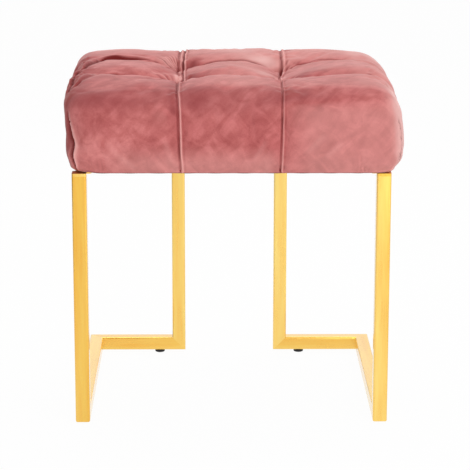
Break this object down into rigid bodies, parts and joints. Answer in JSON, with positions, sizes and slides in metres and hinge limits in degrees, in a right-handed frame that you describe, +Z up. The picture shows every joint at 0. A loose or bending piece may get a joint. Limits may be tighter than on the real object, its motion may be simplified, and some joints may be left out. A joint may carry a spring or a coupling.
{
  "type": "upholstered stool",
  "caption": "Square upholstered stool: a deep tufted velvet cushion on a gold frame of square tube bent as zigzag side legs, standing on screw-in levelling feet.",
  "frame": {"origin": "on the floor, under the middle of the seat", "axes": "+X to the right seen from the front, +Y to the back, where the two legs stand close together, +Z up"},
  "size_m": [0.467, 0.402, 0.486],
  "materials": {
    "gold_tube": "satin brushed gold plating on steel tube",
    "zinc_steel": "zinc plated",
    "black_plastic": "moulded, matte",
    "rose_velvet": "short-pile rose velvet with a crushed nap",
    "wadding": "polyester wadding",
    "foam": "polyurethane foam",
    "plywood": "bare plywood",
    "dust_cloth": "black non-woven cloth",
    "twine": "waxed tufting twine"
  },
  "bodies": {
    "stool": {"front_leg_left": "gold_tube", "side_runner_left": "gold_tube", "rear_rail_left": "gold_tube", "rear_leg_left": "gold_tube", "top_bar_left": "gold_tube", "front_leg_right": "gold_tube", "side_runner_right": "gold_tube", "rear_rail_right": "gold_tube", "rear_leg_right": "gold_tube", "top_bar_right": "gold_tube", "twine_anchor_front_left": "zinc_steel", "twine_anchor_front_right": "zinc_steel", "twine_anchor_rear_left": "zinc_steel", "twine_anchor_rear_right": "zinc_steel", "tuft_twine_front_left": "twine", "tuft_twine_front_right": "twine", "tuft_twine_rear_left": "twine", "tuft_twine_rear_right": "twine", "foot_nuts": "zinc_steel", "seat_bolts": "zinc_steel", "bolt_washers": "zinc_steel", "tee_nuts": "zinc_steel", "cover_staples": "zinc_steel", "dust_cover_staples": "zinc_steel", "velvet_cover": "rose_velvet", "wadding": "wadding", "seat_foam": "foam", "seat_board": "plywood", "dust_cover": "dust_cloth"},
    "foot_stud_front_left": {"foot_stud_front_left": "zinc_steel"},
    "foot_pad_front_left": {"foot_pad_front_left": "black_plastic"},
    "foot_stud_front_right": {"foot_stud_front_right": "zinc_steel"},
    "foot_pad_front_right": {"foot_pad_front_right": "black_plastic"},
    "foot_stud_rear_left": {"foot_stud_rear_left": "zinc_steel"},
    "foot_pad_rear_left": {"foot_pad_rear_left": "black_plastic"},
    "foot_stud_rear_right": {"foot_stud_rear_right": "zinc_steel"},
    "foot_pad_rear_right": {"foot_pad_rear_right": "black_plastic"}
  },
  "joints": [
    {"name": "foot_front_left_travel", "type": "slide", "parent": "stool", "child": "foot_stud_front_left", "axis": [0, 0, -1], "range_m": [0, 0.006]},
    {"name": "foot_front_left_turn", "type": "hinge", "parent": "foot_stud_front_left", "child": "foot_pad_front_left", "pos_m": [-0.2075, -0.145, 0.0025], "axis": [0, 0, 1], "range_deg": [0, 2160]},
    {"name": "foot_front_right_travel", "type": "slide", "parent": "stool", "child": "foot_stud_front_right", "axis": [0, 0, -1], "range_m": [0, 0.006]},
    {"name": "foot_front_right_turn", "type": "hinge", "parent": "foot_stud_front_right", "child": "foot_pad_front_right", "pos_m": [0.2075, -0.145, 0.0025], "axis": [0, 0, 1], "range_deg": [0, 2160]},
    {"name": "foot_rear_left_travel", "type": "slide", "parent": "stool", "child": "foot_stud_rear_left", "axis": [0, 0, -1], "range_m": [0, 0.006]},
    {"name": "foot_rear_left_turn", "type": "hinge", "parent": "foot_stud_rear_left", "child": "foot_pad_rear_left", "pos_m": [-0.1085, 0.175, 0.0025], "axis": [0, 0, 1], "range_deg": [0, 2160]},
    {"name": "foot_rear_right_travel", "type": "slide", "parent": "stool", "child": "foot_stud_rear_right", "axis": [0, 0, -1], "range_m": [0, 0.006]},
    {"name": "foot_rear_right_turn", "type": "hinge", "parent": "foot_stud_rear_right", "child": "foot_pad_rear_right", "pos_m": [0.1085, 0.175, 0.0025], "axis": [0, 0, 1], "range_deg": [0, 2160]}
  ],
  "couplings": [
    {"joint": "foot_front_left_turn", "follows": "foot_front_left_travel", "rad_per_m": 6283.2},
    {"joint": "foot_front_right_turn", "follows": "foot_front_right_travel", "rad_per_m": 6283.2},
    {"joint": "foot_rear_left_turn", "follows": "foot_rear_left_travel", "rad_per_m": 6283.2},
    {"joint": "foot_rear_right_turn", "follows": "foot_rear_right_travel", "rad_per_m": 6283.2}
  ]
}
